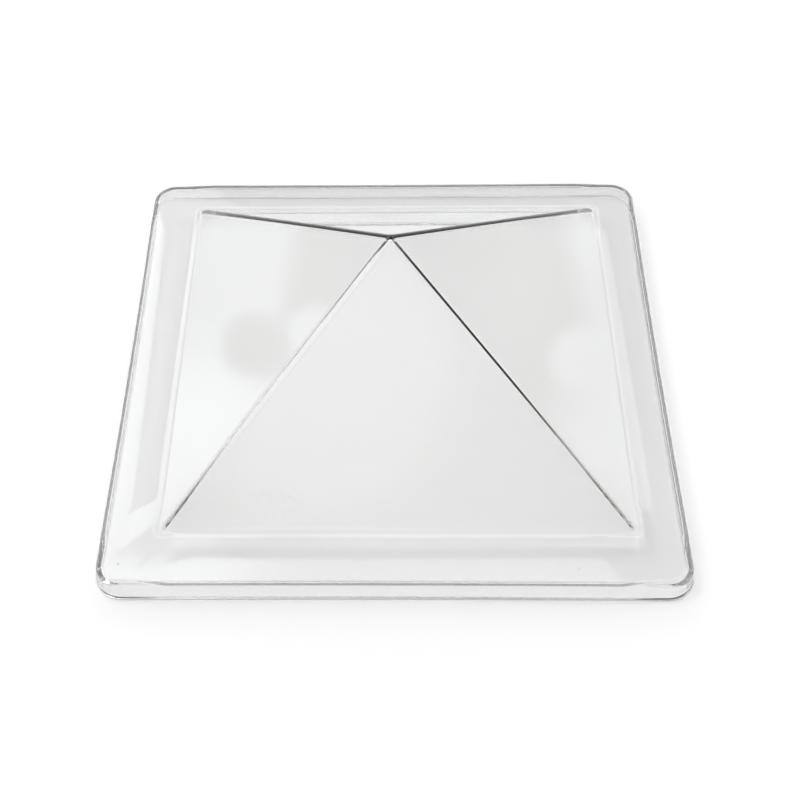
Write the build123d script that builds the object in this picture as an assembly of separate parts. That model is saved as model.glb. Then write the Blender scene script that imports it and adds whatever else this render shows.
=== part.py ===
"""Pyramid skylight: one sheet of clear plastic, moulded in one piece.

The middle of a square sheet rises into a four-sided pyramid. Round it lies a level flange,
whose outer edge turns down into a short skirt. The dome drops over a roof kerb: the flange
lies on the kerb and the skirt hangs outside it.

Sizes are in millimetres. The origin is at the middle of the skirt's cut edge and +Z is up.
A bend's radius is that of its tight side: below the hips and the corners, and above the fold
between the flange and the pyramid. The edge between flange and skirt has a radius on each side.
"""
import os
from math import atan2, cos, radians, tan

from build123d import *

# The whole dome
overall_side = 600.0
sheet_thickness = 6.0

# The skirt and the flange
rim_height = 23.5
flange_width = 55.5
skirt_draft = 8.0
corner_radius = 23.5
edge_outer_radius = 3.0
edge_inner_radius = 1.0
cut_edge_radius = 1.0

# The pyramid, up to where its faces would meet in a point
pyramid_rise = 183.0
hip_radius = 4.0
fold_radius = 14.0

# What follows from them
foot_half = overall_side / 2 - flange_width
face_slope = atan2(pyramid_rise, foot_half)
hip_outer_radius = hip_radius + sheet_thickness


def rim_form(inset, edge_radius):
    """The skirt and flange as a solid block, inset from the sheet's outside.

    The skirt leans in towards its top, so that the moulded dome lifts off its mould.
    """
    side = overall_side - 2 * inset / cos(radians(skirt_draft))
    corner = corner_radius + sheet_thickness - inset
    base = RectangleRounded(side, side, corner)
    block = extrude(base, rim_height - inset, taper=skirt_draft)
    return fillet(block.faces().sort_by(Axis.Z)[-1].edges(), edge_radius)


def pyramid_form(inset):
    """The pyramid as a solid block, inset from the sheet's outside.

    A sharp pyramid grows by the hip's radius, which rounds its hips and its tip alike. It
    starts one sheet below the flange, so that it is well rooted in the rim's block.
    """
    growth = hip_outer_radius - inset
    root_level = rim_height - inset - sheet_thickness
    foot_level = root_level - growth
    tip_level = rim_height + pyramid_rise - hip_outer_radius / cos(face_slope)
    foot_side = 2 * (tip_level - foot_level) / tan(face_slope)
    foot = (Plane.XY.offset(foot_level) * Rectangle(foot_side, foot_side)).face()
    tip = Vector(0, 0, tip_level)
    faces = [Face(Wire.make_polygon([edge @ 0, edge @ 1, tip])) for edge in foot.edges()]
    sharp = Solid(Shell([foot, *faces]))
    round_pyramid = offset(sharp, amount=growth, kind=Kind.ARC)
    return split(round_pyramid, Plane.XY.offset(root_level), keep=Keep.TOP)


def moulded_form(inset, edge_radius):
    """The whole dome as a solid block, with the fold where the pyramid leaves the flange."""
    rim = rim_form(inset, edge_radius)
    pyramid = pyramid_form(inset)
    form = rim + pyramid
    fold = new_edges(rim, pyramid, combined=form)
    return fillet(fold, fold_radius + inset)


def pyramid_dome():
    """The sheet itself, open below, with its cut edge eased."""
    outside = moulded_form(0, edge_outer_radius)
    inside = moulded_form(sheet_thickness, edge_inner_radius)
    dome = outside - inside
    cut_edge = dome.faces().sort_by(Axis.Z)[0].edges()
    return fillet(cut_edge, cut_edge_radius)


os.makedirs("parts", exist_ok=True)
export_step(pyramid_dome(), "parts/pyramid_dome.step")
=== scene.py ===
"""The looks of the pyramid skylight: one clear moulded dome that stands on a pale floor."""
from collections import namedtuple
from math import asin, atan2, cos, pi, sin, sqrt, tan

import bmesh
import bpy
from mathutils import Matrix, Vector


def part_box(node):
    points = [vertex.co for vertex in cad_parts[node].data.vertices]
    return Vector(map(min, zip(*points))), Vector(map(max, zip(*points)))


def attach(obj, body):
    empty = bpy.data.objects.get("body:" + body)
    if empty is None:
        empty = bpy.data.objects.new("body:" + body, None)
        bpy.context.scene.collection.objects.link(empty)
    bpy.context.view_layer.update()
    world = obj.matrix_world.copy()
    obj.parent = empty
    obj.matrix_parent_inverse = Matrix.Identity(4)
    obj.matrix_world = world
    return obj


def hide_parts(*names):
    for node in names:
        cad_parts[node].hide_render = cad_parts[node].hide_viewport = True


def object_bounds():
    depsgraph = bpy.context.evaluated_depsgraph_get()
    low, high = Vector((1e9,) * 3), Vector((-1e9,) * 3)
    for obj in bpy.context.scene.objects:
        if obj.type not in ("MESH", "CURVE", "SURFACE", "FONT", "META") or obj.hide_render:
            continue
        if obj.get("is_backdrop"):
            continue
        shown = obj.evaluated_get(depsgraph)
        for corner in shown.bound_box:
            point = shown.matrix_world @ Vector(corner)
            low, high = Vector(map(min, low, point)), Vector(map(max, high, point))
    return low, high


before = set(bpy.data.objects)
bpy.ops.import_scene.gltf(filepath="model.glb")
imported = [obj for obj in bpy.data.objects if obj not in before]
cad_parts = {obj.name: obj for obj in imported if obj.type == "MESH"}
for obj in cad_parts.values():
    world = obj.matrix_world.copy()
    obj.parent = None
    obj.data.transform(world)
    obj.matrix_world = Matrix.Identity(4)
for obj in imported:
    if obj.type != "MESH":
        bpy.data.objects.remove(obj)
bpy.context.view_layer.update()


# The dome. One square sheet of clear plastic is heated until it is soft, drawn up into a
# pyramid in its middle and folded down all round its edge. It cools as one piece, then the
# skirt is sawn off level and the saw cut is eased.
dome_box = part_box("pyramid_dome")
side_half = dome_box[1][0]
sheet = 0.006

# The skirt leans in towards its top, so that the dome lifts off its mould. The sides have drawn
# in a little in their middle, the left and the right one more than the front and the back one.
rim_height = 0.0235
draft = 0.14
skirt_lean = atan2(draft, 1)
corner_radius = 0.0294
side_bow = 0.0018
front_bow = 0.0009
cut_edge_radius = 0.001

# The bend between flange and skirt is tight along the sides and wide at the corners.
edge_radius = 0.0035
edge_inner_radius = 0.001
corner_edge_radius = 0.008
corner_reach = 0.05

# The flange is not quite level: it rises a little to the pyramid or sags a little to the skirt,
# each side otherwise. The slopes are in radians, for the front, right, back and left side, and
# fade out near the corners.
fold_half = 0.2445
fold_radius = 0.014
edge_strip = 0.010
flange_run = side_half - fold_half - edge_strip
rise_share = 0.45
sag_from = 0.45
front_rise, front_sag = 0.0, 0.07
right_rise, right_sag = 0.07, 0.0
back_rise, back_sag = 0.04, 0.03
left_rise, left_sag = 0.02, 0.07
level_reach = 0.05
rises = (front_rise, right_rise, back_rise, left_rise)
sags = (front_sag, right_sag, back_sag, left_sag)

# The pyramid, up to where its faces would meet in a point. Its tip and its foot have come off
# the mould a few millimetres out of the middle.
pyramid_rise = 0.183
face_slope = atan2(pyramid_rise, fold_half)
hip_slope = atan2(tan(face_slope), sqrt(2))
hip_swing = asin(sin(face_slope) / sqrt(2))
tip_shift = Vector((-0.0024, 0.0055, 0))
foot_shift = Vector((0.0045, 0.0065, 0))

# The hips are rounded, the front left one most. They tighten at the four lower corners, where
# the plastic has drawn together and the sheet is thicker.
tip_radius = 0.010
hip_radius = 0.010
front_left_hip_radius = 0.015
hip_radii = (hip_radius, hip_radius, hip_radius, front_left_hip_radius)
hip_even_from = 0.10
hip_tight_from = 0.60
hip_foot_radius = 0.0055
hip_foot_inner_radius = 0.004
foot_sheet = 0.0082
foot_sheet_power = 5.0
foot_sheet_gather = 8.0

# How finely the sheet is meshed: steps round the dome, and rings from the tip down. The steps
# draw together towards the corners, and the face's rings towards tip and foot.
side_steps = 64
side_evenness = 0.35
face_gather = 0.6
corner_steps = 14
tip_rings = 6
face_rings = 36
fold_rings = 12
flange_rings = 26
edge_rings = 16
skirt_rings = 6
cut_rings = 4

# Below these, two directions count as one, two points as one and an edge as nothing.
same_way = 1e-6
same_place = 1e-6
no_length = 1e-7

# A station is one line from the tip to the skirt's foot: the way that the face looks there,
# the course of the line's core on plan, its rim and the way that the rim looks on plan, the
# outer radius of the edge's bend, that of the hip, and the flange's slopes there.
Station = namedtuple("Station", "facing course rim plan edge hip rise sag")


def smooth(value):
    """Rises from 0 to 1 with level ends."""
    value = min(1.0, max(0.0, value))
    return value * value * (3 - 2 * value)


def blend(first, second, share):
    """The number that lies share of the way from first to second."""
    return first + (second - first) * share


def blend_ways(first, second, share):
    """The direction that lies share of the way from first to second, on their common arc."""
    angle = first.angle(second)
    if angle < same_way:
        return first.copy()
    return (first * sin((1 - share) * angle) + second * sin(share * angle)) / sin(angle)


def quarter_turned(point, quarter):
    """A point or direction of the front side, turned to another side by quarter turns."""
    return Matrix.Rotation(quarter * pi / 2, 3, "Z") @ Vector(point)


def side_stations(quarter):
    """The stations along one straight side of the dome."""
    stations = []
    straight = side_half - corner_radius
    bow = side_bow if quarter % 2 else front_bow
    for step in range(side_steps):
        even = -1 + 2 * (step + 0.5) / side_steps
        along = blend(sin(even * pi / 2), even, side_evenness)
        from_corner = straight * (1 - abs(along))
        facing = (0, -sin(face_slope), cos(face_slope))
        rim = (along * straight, -side_half + bow * (1 - along * along), 0)
        stations.append(Station(
            facing=quarter_turned(facing, quarter),
            course=quarter_turned((along, -1, 0), quarter),
            rim=quarter_turned(rim, quarter),
            plan=quarter_turned((0, -1, 0), quarter),
            edge=blend(edge_radius, corner_edge_radius, smooth(1 - from_corner / corner_reach)),
            hip=blend(hip_radii[quarter - 1], hip_radii[quarter], (along + 1) / 2),
            rise=rises[quarter] * smooth(from_corner / level_reach),
            sag=sags[quarter] * smooth(from_corner / level_reach),
        ))
    return stations


def corner_stations(quarter):
    """The stations round one corner, over the rounded hip and round the rim's corner."""
    stations = []
    straight = side_half - corner_radius
    outward = Vector((1, -1, 0)).normalized()
    lateral = Vector((1, 1, 0)).normalized()
    hip_facing = outward * sin(hip_slope) + Vector((0, 0, cos(hip_slope)))
    for step in range(corner_steps + 1):
        share = step / corner_steps
        swing = hip_swing * (2 * share - 1)
        facing = hip_facing * cos(swing) + lateral * sin(swing)
        angle = (share - 1) * pi / 2
        plan = Vector((cos(angle), sin(angle), 0))
        rim = Vector((straight, -straight, 0)) + plan * corner_radius
        stations.append(Station(
            facing=quarter_turned(facing, quarter),
            course=quarter_turned((1, -1, 0), quarter),
            rim=quarter_turned(rim, quarter),
            plan=quarter_turned(plan, quarter),
            edge=corner_edge_radius,
            hip=hip_radii[quarter],
            rise=0.0,
            sag=0.0,
        ))
    return stations


def hip_bend(station, share, inside):
    """The hip's radius on one side of the sheet, share of the way down from the tip."""
    depth = sheet if inside else 0
    foot = hip_foot_inner_radius if inside else hip_foot_radius
    upper = blend(tip_radius, station.hip, smooth(share / hip_even_from)) - depth
    return blend(upper, foot, smooth((share - hip_tight_from) / (1 - hip_tight_from)))


def face_depth(station, share, inside):
    """How far one side of the sheet lies below the outside of the pyramid's face."""
    if not inside:
        return 0
    cornering = abs(station.course.x) * abs(station.course.y)
    gathered = (foot_sheet - sheet) * cornering ** foot_sheet_gather
    return sheet + gathered * share ** foot_sheet_power


def flange_rise(station):
    """How far the flange rises to the pyramid."""
    return tan(station.rise) * rise_share * flange_run / 2


def flange_sag(station):
    """How far the flange sags to the skirt."""
    return tan(station.sag) * (1 - sag_from) * flange_run / 2


def pyramid_points(station, inside):
    """Points from the tip down the face to the foot, and the middle of the fold's bend."""
    level = Vector((0, 0, 1))
    depth = sheet if inside else 0
    fold = fold_radius + depth
    tip_bend = hip_bend(station, 0, inside)
    foot_bend = hip_bend(station, 1, inside)
    tip_core = rim_height + pyramid_rise - (tip_bend + depth) / cos(face_slope)
    foot_core = rim_height + flange_sag(station) + flange_rise(station) - depth
    foot_core += fold * cos(station.rise) - (foot_bend + fold) * station.facing.z
    points = []
    for ring in range(tip_rings):
        way = blend_ways(level, station.facing, ring / tip_rings)
        points.append(Vector((0, 0, tip_core)) + tip_shift + way * tip_bend)
    for ring in range(face_rings):
        even = ring / (face_rings - 1)
        share = blend(even, smooth(even), face_gather)
        bend = hip_bend(station, share, inside)
        height = blend(tip_core, foot_core, share)
        gap = (bend + face_depth(station, share, inside)) / cos(face_slope)
        run = (rim_height + pyramid_rise - height - gap) / tan(face_slope)
        core = station.course * run + level * height + tip_shift.lerp(foot_shift, share)
        points.append(core + station.facing * bend)
    return points, core + station.facing * (foot_bend + fold)


def fold_and_flange_points(station, hub, inside):
    """Points round the fold and over the flange, to where the edge's bend begins."""
    level = Vector((0, 0, 1))
    depth = sheet if inside else 0
    fold = fold_radius + depth
    away = Vector((station.facing.x, station.facing.y, 0)).normalized()
    foot_way = level * cos(station.rise) + away * sin(station.rise)
    points = []
    for ring in range(1, fold_rings + 1):
        points.append(hub - blend_ways(station.facing, foot_way, ring / fold_rings) * fold)
    start = hub - foot_way * fold
    start.z = rim_height + flange_sag(station) - depth
    skirt_start = rim_height - station.edge * (1 - sin(skirt_lean))
    end = station.rim - station.plan * (draft * skirt_start + station.edge * cos(skirt_lean))
    end.z = start.z
    for ring in range(1, flange_rings + 1):
        share = ring / flange_rings
        rise = flange_rise(station) * max(0, 1 - share / rise_share) ** 2
        sag = flange_sag(station) * max(0, (share - sag_from) / (1 - sag_from)) ** 2
        points.append(start.lerp(end, share) + level * (rise - sag))
    return points


def edge_and_skirt_points(station, inside):
    """Points round the bend between flange and skirt, and down the skirt."""
    level = Vector((0, 0, 1))
    wall = station.plan * cos(skirt_lean) + level * sin(skirt_lean)
    skirt_start = rim_height - station.edge * (1 - sin(skirt_lean))
    out = draft * skirt_start + station.edge * cos(skirt_lean)
    centre = station.rim - station.plan * out + level * (rim_height - station.edge)
    radius = station.edge
    if inside:
        radius = edge_inner_radius
        bisector = (level + wall).normalized()
        inset = station.edge - sheet - edge_inner_radius
        centre += bisector * (inset / cos(level.angle(wall) / 2))
    points = []
    for ring in range(1, edge_rings + 1):
        angle = blend(station.sag, pi / 2 - skirt_lean, ring / edge_rings)
        points.append(centre + (level * cos(angle) + station.plan * sin(angle)) * radius)
    depth = sheet if inside else 0
    for ring in range(1, skirt_rings + 1):
        height = blend(skirt_start, cut_edge_radius, ring / skirt_rings)
        spot = station.rim - station.plan * draft * height - wall * depth
        points.append(Vector((spot.x, spot.y, height)))
    return points


def cut_edge_points(station):
    """Points round the eased saw cut, from the outside to the inside."""
    points = []
    for ring in range(1, cut_rings + 1):
        angle = ring / cut_rings * pi / 2
        spot = station.rim - station.plan * cut_edge_radius * (1 - cos(angle))
        points.append(Vector((spot.x, spot.y, cut_edge_radius * (1 - sin(angle)))))
    for ring in range(cut_rings):
        angle = ring / cut_rings * pi / 2
        spot = station.rim - station.plan * (sheet - cut_edge_radius * (1 - sin(angle)))
        points.append(Vector((spot.x, spot.y, cut_edge_radius * (1 - cos(angle)))))
    return points


def sheet_side(station, inside):
    """One side of the sheet along a station, from the tip to the skirt's foot."""
    points, hub = pyramid_points(station, inside)
    points += fold_and_flange_points(station, hub, inside)
    points += edge_and_skirt_points(station, inside)
    return points


def dome_mesh():
    """The closed sheet: its outside from tip to saw cut, then its inside back to the tip."""
    lines = []
    for quarter in range(4):
        for station in side_stations(quarter) + corner_stations(quarter):
            inside = sheet_side(station, True)
            lines.append(sheet_side(station, False) + cut_edge_points(station) + inside[::-1])
    rings = len(lines[0])
    faces = []
    for index in range(len(lines)):
        here = index * rings
        after = (index + 1) % len(lines) * rings
        for ring in range(rings - 1):
            faces.append((here + ring, here + ring + 1, after + ring + 1, after + ring))
    mesh = bpy.data.meshes.new("pyramid_dome")
    mesh.from_pydata([point for line in lines for point in line], [], faces)
    return mesh


def joined_and_smooth(mesh):
    """Joins the stations' common tips and gives the sheet an unbroken, smooth surface."""
    shell = bmesh.new()
    shell.from_mesh(mesh)
    bmesh.ops.remove_doubles(shell, verts=shell.verts, dist=same_place)
    bmesh.ops.dissolve_degenerate(shell, edges=shell.edges, dist=no_length)
    bmesh.ops.recalc_face_normals(shell, faces=shell.faces)
    for face in shell.faces:
        face.smooth = True
    shell.to_mesh(mesh)
    shell.free()


# The finish. The plastic is faintly grey in its thickness and wavy from the mould. Handling has
# dulled it here and there, its front face is scuffed low on the left, and specks of dirt lie on
# its flange.
plastic_index = 1.49
tint_colour = (0.503, 0.504, 0.4975, 1)
tint_density = 33.0
wave_scale = 16.0
wave_detail = 1.0
wave_height = 0.00004
handled_scale = 9.0
handled_detail = 4.0
handled_from = 0.58
handled_to = 0.72
handled_dullness = 0.05
scratch_scale = 90.0
scratch_width = 0.05
scuff_spots = [(-0.133, -0.210, 0.045), (-0.116, -0.222, 0.036), (-0.104, -0.210, 0.045)]
scuff_inner = 0.006
scuff_outer = 0.016
scuff_depth = 0.0003
scuff_dullness = 0.30
speck_spots = [(-0.2815, 0.2148, 0.0235), (-0.2739, -0.2735, 0.0235), (0.1829, -0.2785, 0.0235)]
speck_inner = 0.00055
speck_outer = 0.0011
speck_colour = (0.30, 0.28, 0.25, 1)


def finish_fade(nodes, links, value, start, end, low, high):
    """Maps a value softly from start and end to low and high."""
    node = nodes.new("ShaderNodeMapRange")
    node.interpolation_type = "SMOOTHSTEP"
    node.inputs["From Min"].default_value = start
    node.inputs["From Max"].default_value = end
    node.inputs["To Min"].default_value = low
    node.inputs["To Max"].default_value = high
    links.new(value, node.inputs["Value"])
    return node.outputs[0]


def plastic_clouds(nodes, links, place, scale, detail):
    """A cloudy pattern over the plastic, its scale in clouds to the metre."""
    node = nodes.new("ShaderNodeTexNoise")
    node.inputs["Scale"].default_value = scale
    node.inputs["Detail"].default_value = detail
    links.new(place, node.inputs["Vector"])
    return node.outputs["Fac"]


def mark_round(nodes, links, place, spot, inner, outer):
    """1 within the inner distance of a spot on the dome and 0 beyond the outer distance."""
    node = nodes.new("ShaderNodeVectorMath")
    node.operation = "DISTANCE"
    node.inputs[1].default_value = spot
    links.new(place, node.inputs[0])
    return finish_fade(nodes, links, node.outputs["Value"], inner, outer, 1.0, 0.0)


def strongest_mark(nodes, links, marks):
    """The greatest of some marks."""
    strongest = marks[0]
    for mark in marks[1:]:
        node = nodes.new("ShaderNodeMath")
        node.operation = "MAXIMUM"
        links.new(strongest, node.inputs[0])
        links.new(mark, node.inputs[1])
        strongest = node.outputs[0]
    return strongest


def mark_within(nodes, links, first, second):
    """A mark where two marks meet, their product."""
    node = nodes.new("ShaderNodeMath")
    node.operation = "MULTIPLY"
    links.new(first, node.inputs[0])
    links.new(second, node.inputs[1])
    return node.outputs[0]


def clear_plastic_material():
    """Clear, polished plastic that darkens the light a little in its thickness.

    It is faintly wavy from the mould, dulled here and there by handling, scuffed low on its
    front face, and has a few specks of dirt.
    """
    material = bpy.data.materials.new("clear_moulded_plastic")
    material.use_nodes = True
    nodes = material.node_tree.nodes
    links = material.node_tree.links
    plastic = nodes["Principled BSDF"]
    plastic.inputs["Base Color"].default_value = (1, 1, 1, 1)
    plastic.inputs["Transmission Weight"].default_value = 1.0
    plastic.inputs["IOR"].default_value = plastic_index
    plastic.inputs["Roughness"].default_value = 0.0
    tint = nodes.new("ShaderNodeVolumeAbsorption")
    tint.inputs["Color"].default_value = tint_colour
    tint.inputs["Density"].default_value = tint_density
    links.new(tint.outputs["Volume"], nodes["Material Output"].inputs["Volume"])
    place = nodes.new("ShaderNodeTexCoord").outputs["Object"]

    waves = nodes.new("ShaderNodeBump")
    waves.inputs["Strength"].default_value = 1.0
    waves.inputs["Distance"].default_value = wave_height
    wave_pattern = plastic_clouds(nodes, links, place, wave_scale, wave_detail)
    links.new(wave_pattern, waves.inputs["Height"])
    scratches = nodes.new("ShaderNodeTexVoronoi")
    scratches.feature = "DISTANCE_TO_EDGE"
    scratches.inputs["Scale"].default_value = scratch_scale
    links.new(place, scratches.inputs["Vector"])
    line_distance = scratches.outputs["Distance"]
    scratch_lines = finish_fade(nodes, links, line_distance, 0.0, scratch_width, 1.0, 0.0)
    scuff_patches = [
        mark_round(nodes, links, place, spot, scuff_inner, scuff_outer) for spot in scuff_spots
    ]
    scuffed_part = strongest_mark(nodes, links, scuff_patches)
    scuff = mark_within(nodes, links, scuffed_part, scratch_lines)
    scuff_bump = nodes.new("ShaderNodeBump")
    scuff_bump.inputs["Strength"].default_value = 1.0
    scuff_bump.inputs["Distance"].default_value = scuff_depth
    links.new(scuff, scuff_bump.inputs["Height"])
    links.new(waves.outputs["Normal"], scuff_bump.inputs["Normal"])
    links.new(scuff_bump.outputs["Normal"], plastic.inputs["Normal"])

    handling = plastic_clouds(nodes, links, place, handled_scale, handled_detail)
    handled = finish_fade(nodes, links, handling, handled_from, handled_to, 0.0, handled_dullness)
    scuffed = finish_fade(nodes, links, scuff, 0.0, 1.0, 0.0, scuff_dullness)
    dullness = strongest_mark(nodes, links, [handled, scuffed])
    links.new(dullness, plastic.inputs["Roughness"])

    specks = [
        mark_round(nodes, links, place, spot, speck_inner, speck_outer) for spot in speck_spots
    ]
    dirt = nodes.new("ShaderNodeMix")
    dirt.data_type = "RGBA"
    dirt.inputs["A"].default_value = (1, 1, 1, 1)
    dirt.inputs["B"].default_value = speck_colour
    links.new(strongest_mark(nodes, links, specks), dirt.inputs["Factor"])
    links.new(dirt.outputs["Result"], plastic.inputs["Base Color"])
    return material


dome_sheet = dome_mesh()
joined_and_smooth(dome_sheet)
dome_sheet.materials.append(clear_plastic_material())
dome = bpy.data.objects.new("pyramid_dome_sheet", dome_sheet)
bpy.context.scene.collection.objects.link(dome)
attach(dome, "root")
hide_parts("pyramid_dome")


# The floor. A wide, level, matt white ground that the skirt's cut edge stands on. Where the
# camera sees it, straight or through the plastic, it glows a little, so that it goes to white.
floor_half = 5.0
floor_gap = 0.0005
floor_glow = 0.08
floor_white = (0.92, 0.92, 0.92, 1)


def white_floor_material():
    """Matt white, with a little glow for the camera, in reflections and through the plastic."""
    material = bpy.data.materials.new("white_floor")
    material.use_nodes = True
    nodes = material.node_tree.nodes
    links = material.node_tree.links
    paint = nodes["Principled BSDF"]
    paint.inputs["Base Color"].default_value = floor_white
    paint.inputs["Roughness"].default_value = 1.0
    paint.inputs["Specular IOR Level"].default_value = 0.0
    paint.inputs["Emission Color"].default_value = (1, 1, 1, 1)
    rays = nodes.new("ShaderNodeLightPath")
    seen = rays.outputs["Is Camera Ray"]
    for kind in ("Is Glossy Ray", "Is Transmission Ray"):
        either = nodes.new("ShaderNodeMath")
        either.operation = "MAXIMUM"
        links.new(seen, either.inputs[0])
        links.new(rays.outputs[kind], either.inputs[1])
        seen = either.outputs[0]
    glow = nodes.new("ShaderNodeMath")
    glow.operation = "MULTIPLY"
    glow.inputs[1].default_value = floor_glow
    links.new(seen, glow.inputs[0])
    links.new(glow.outputs[0], paint.inputs["Emission Strength"])
    return material


floor_corners = [
    (-floor_half, -floor_half, -floor_gap),
    (floor_half, -floor_half, -floor_gap),
    (floor_half, floor_half, -floor_gap),
    (-floor_half, floor_half, -floor_gap),
]
floor_sheet = bpy.data.meshes.new("floor")
floor_sheet.from_pydata(floor_corners, [], [(0, 1, 2, 3)])
floor_sheet.materials.append(white_floor_material())
floor = bpy.data.objects.new("floor", floor_sheet)
bpy.context.scene.collection.objects.link(floor)
floor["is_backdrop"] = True


# The room. Soft light comes from all round, and the glossy plastic mirrors it: a pale ceiling,
# a dark end wall in a ring of windows, a window on the left and low light on both sides.
room = bpy.data.worlds.new("room")
bpy.context.scene.world = room
room.use_nodes = True
room_nodes = room.node_tree.nodes
room_links = room.node_tree.links
looking = room_nodes.new("ShaderNodeTexCoord").outputs["Generated"]
looking_parts = room_nodes.new("ShaderNodeSeparateXYZ")
room_links.new(looking, looking_parts.inputs[0])


def room_math(operation, first, second):
    """A sum, difference or product of two levels of the room."""
    node = room_nodes.new("ShaderNodeMath")
    node.operation = operation
    for socket, value in zip(node.inputs, (first, second)):
        if isinstance(value, (int, float)):
            socket.default_value = value
        else:
            room_links.new(value, socket)
    return node.outputs[0]


def room_step(value, start, end, from_level, to_level):
    """Goes softly from one level to another while the value goes from start to end."""
    node = room_nodes.new("ShaderNodeMapRange")
    node.interpolation_type = "SMOOTHSTEP"
    node.inputs["From Min"].default_value = start
    node.inputs["From Max"].default_value = end
    node.inputs["To Min"].default_value = from_level
    node.inputs["To Max"].default_value = to_level
    room_links.new(value, node.inputs["Value"])
    return node.outputs[0]


def room_blend(first, second, mask):
    """The first level, and the second where the mask is 1."""
    return room_math("ADD", first, room_math("MULTIPLY", mask, room_math("SUBTRACT", second, first)))


def round_patch(level, middle, inner, outer, patch_level):
    """The level with a soft round patch of another level, its radii in radians."""
    toward = room_nodes.new("ShaderNodeVectorMath")
    toward.operation = "DOT_PRODUCT"
    toward.inputs[1].default_value = Vector(middle).normalized()
    room_links.new(looking, toward.inputs[0])
    mask = room_step(toward.outputs["Value"], cos(outer), cos(inner), 0.0, 1.0)
    return room_blend(level, patch_level, mask)


ceiling_level = 0.57
low_south_level = 0.15
ring_middle = (0, 0.66, 0.75)
ring_level = 2.2
ring_inner = 0.55
ring_outer = 0.70

# Each way that a ray looks has a height, and a share across to the right and along to the back.
height = looking_parts.outputs["Z"]
across = looking_parts.outputs["X"]
along = looking_parts.outputs["Y"]
south_rise = (0.05, 0.45)
south_to_north = (-0.3, 0.3)
southern = room_step(height, *south_rise, low_south_level, ceiling_level)
northern_part = room_step(along, *south_to_north, 0.0, 1.0)
room_light = room_blend(southern, ceiling_level, northern_part)
room_light = round_patch(room_light, ring_middle, ring_inner, ring_outer, ring_level)

# The end wall in the ring is what the flange mirrors: dark in its middle, where the level parts
# look, and pale round it, where the rising and sagging parts do. Each strip has a level and a
# soft edge between two values.
wall_level = 0.15
wall_inner = 0.38
wall_outer = 0.46
wall_left_level = 0.8
wall_left_end_level = 2.8
wall_right_end_level = 1.7
wall_upper_level = 1.15
wall_lower_level = 2.0
wall_upper_left_level = 2.6
left_strip = (-0.14, -0.11)
left_end_strip = (-0.185, -0.21)
right_end_strip = (0.20, 0.23)
upper_left_strip = (-0.14, -0.06)
upper_strip = (0.56, 0.54)
upper_strip_end = (0.15, 0.17)
lower_strip = (0.80, 0.86)
wall = room_step(across, *left_strip, wall_left_level, wall_level)
wall = room_blend(wall, wall_left_end_level, room_step(across, *left_end_strip, 0.0, 1.0))
wall_upper = room_step(across, *upper_left_strip, wall_upper_left_level, wall_upper_level)
upper_part = room_step(along, *upper_strip, 0.0, 1.0)
upper_part = room_math("MULTIPLY", room_step(across, *upper_strip_end, 1.0, 0.0), upper_part)
wall = room_blend(wall, wall_upper, upper_part)
wall = room_blend(wall, wall_right_end_level, room_step(across, *right_end_strip, 0.0, 1.0))
wall = room_blend(wall, wall_lower_level, room_step(along, *lower_strip, 0.0, 1.0))
room_light = round_patch(room_light, ring_middle, wall_inner, wall_outer, wall)

# Behind the camera it is dim, but for one window that the pyramid's front face mirrors.
south_way = (0, -0.6, 0.8)
south_inner = 0.25
south_outer = 0.40
south_level = 0.38
south_window_way = (-0.06, -0.53, 0.845)
south_window_inner = 0.07
south_window_outer = 0.13
south_window_level = 1.05
room_light = round_patch(room_light, south_way, south_inner, south_outer, south_level)
room_light = round_patch(
    room_light, south_window_way, south_window_inner, south_window_outer, south_window_level
)

# A window on the left, which the rounded hip at the front left mirrors.
window_way = (-0.6, 0.08, 0.8)
window_inner = 0.20
window_outer = 0.30
window_level = 3.0
room_light = round_patch(room_light, window_way, window_inner, window_outer, window_level)

# Low light on both sides, which the pyramid's left and right faces mirror, with a dim wall
# above it. It is brightest to the back.
low_light_level = 1.5
dim_wall_level = 0.45
side_begins = 0.60
side_full = 0.66
left_light_top = (0.095, 0.12)
right_light_top = (0.08, 0.105)
dim_wall_top = (0.25, 0.35)
left_end = room_step(across, -side_begins, -side_full, 0.0, 1.0)
right_end = room_step(across, side_begins, side_full, 0.0, 1.0)
below_top = room_step(height, *dim_wall_top, 1.0, 0.0)
left_low = room_step(height, *left_light_top, low_light_level, dim_wall_level)
right_low = room_step(height, *right_light_top, low_light_level, dim_wall_level)
room_light = room_blend(room_light, left_low, room_math("MULTIPLY", left_end, below_top))
room_light = room_blend(room_light, right_low, room_math("MULTIPLY", right_end, below_top))
far_low_inner = 0.02
far_low_outer = 0.12
far_left_level = 2.8
far_right_level = 2.0
low_left_way = (-0.80, 0.60, 0.05)
low_right_way = (0.80, 0.60, 0.05)
room_light = round_patch(room_light, low_left_way, far_low_inner, far_low_outer, far_left_level)
room_light = round_patch(room_light, low_right_way, far_low_inner, far_low_outer, far_right_level)

# Beside the low light is a small bright thing on each side, and a dark one on the left. The
# pyramid's left and right faces mirror them as soft round spots.
spot_inner = 0.01
spot_outer = 0.03
bright_spot_level = 1.7
dark_spot_level = 0.45
room_spots = [
    ((-0.722, 0.678, 0.134), bright_spot_level),
    ((0.742, 0.664, 0.100), bright_spot_level),
    ((-0.733, 0.672, 0.094), dark_spot_level),
]
for spot_way, spot_level in room_spots:
    room_light = round_patch(room_light, spot_way, spot_inner, spot_outer, spot_level)

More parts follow.
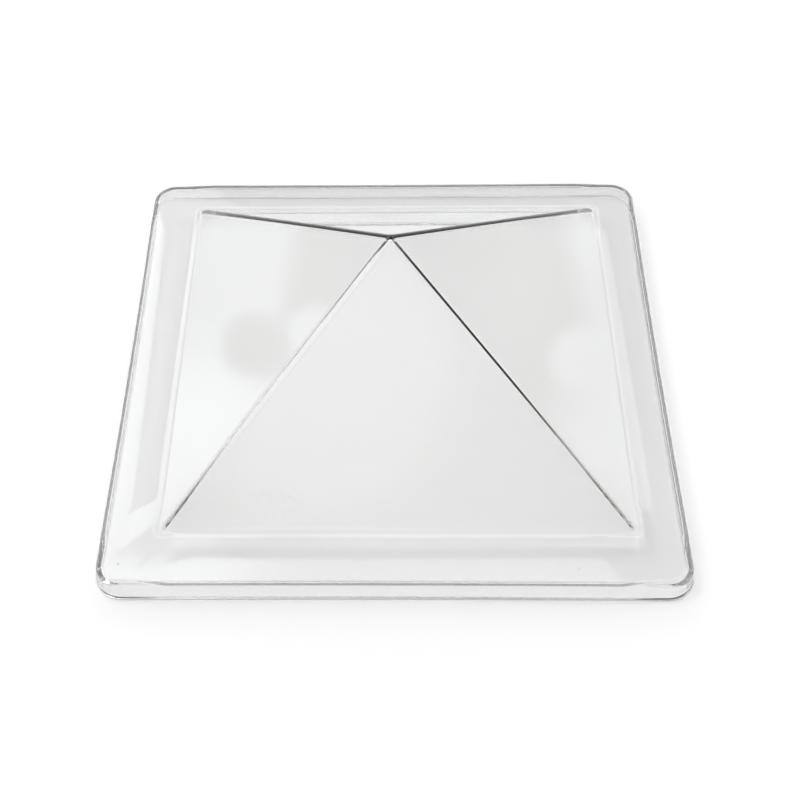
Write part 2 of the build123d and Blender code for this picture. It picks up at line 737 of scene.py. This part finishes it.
# The room's walls are faintly warm, and the sky in its windows is faintly cool.
warm_wall = (1.0, 0.985, 0.955, 1)
cool_sky = (0.97, 0.985, 1.0, 1)
wall_to_sky = (0.6, 1.4)
room_colour = room_nodes.new("ShaderNodeMix")
room_colour.data_type = "RGBA"
room_colour.inputs["A"].default_value = warm_wall
room_colour.inputs["B"].default_value = cool_sky
room_links.new(room_step(room_light, *wall_to_sky, 0.0, 1.0), room_colour.inputs["Factor"])
room_links.new(room_colour.outputs["Result"], room_nodes["Background"].inputs["Color"])

# The camera itself sees a plain white backdrop. Where it looks out level through the plastic,
# it sees that too.
backdrop_level = 1.0
backdrop_top = (0.12, 0.20)
room_rays = room_nodes.new("ShaderNodeLightPath")
level_view = room_step(height, *backdrop_top, 1.0, 0.0)
through = room_math("MULTIPLY", room_rays.outputs["Is Transmission Ray"], level_view)
shown = room_math("MAXIMUM", room_rays.outputs["Is Camera Ray"], through)
shown_light = room_blend(room_light, backdrop_level, shown)
room_links.new(shown_light, room_nodes["Background"].inputs["Strength"])

# A small bright window high on the left, whose glints the bent plastic gathers.
lamp_place = Vector((-0.95, 0.55, 2.3))
lamp_size = 0.27
lamp_power = 3.0
lamp_data = bpy.data.lights.new("left_window", "AREA")
lamp_data.size = lamp_size
lamp_data.energy = lamp_power
left_window = bpy.data.objects.new("left_window", lamp_data)
left_window.location = lamp_place
left_window.rotation_euler = (-lamp_place).to_track_quat("-Z", "Y").to_euler()
bpy.context.scene.collection.objects.link(left_window)


# The camera. It stands in front of the dome and a little to its right, 1.6 metres off, and
# looks down at it by some 49 degrees.
camera_distance = 1.5896
camera_turn = 0.03952
camera_rise = 0.85684
camera_roll = 0.03139
camera_target = Vector((-0.0417, -0.0208, 0.0))
focal_in_frames = 1418.65 / 800
frame_shift = (0.05542, -0.01602)

camera_data = bpy.data.cameras.new("camera")
camera_data.lens = focal_in_frames * camera_data.sensor_width
camera_data.shift_x, camera_data.shift_y = frame_shift
camera_back = Vector((
    sin(camera_turn) * cos(camera_rise),
    -cos(camera_turn) * cos(camera_rise),
    sin(camera_rise),
))
camera_right = Vector((cos(camera_turn), sin(camera_turn), 0.0))
camera_frame = Matrix((camera_right, camera_back.cross(camera_right), camera_back)).transposed()
camera_frame = camera_frame @ Matrix.Rotation(-camera_roll, 3, "Z")
camera_place = camera_target + camera_back * camera_distance
camera = bpy.data.objects.new("camera", camera_data)
camera.matrix_world = Matrix.Translation(camera_place) @ camera_frame.to_4x4()
bpy.context.scene.collection.objects.link(camera)
bpy.context.scene.camera = camera


# How the picture is worked out. The bent sheet mirrors light many times inside itself before it
# lets it out.
bounces = 32
scene = bpy.context.scene
scene.view_settings.view_transform = "Standard"
scene.cycles.blur_glossy = 0.0
scene.cycles.max_bounces = bounces
scene.cycles.transmission_bounces = bounces
scene.cycles.glossy_bounces = bounces

shown = [list(corner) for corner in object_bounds()]
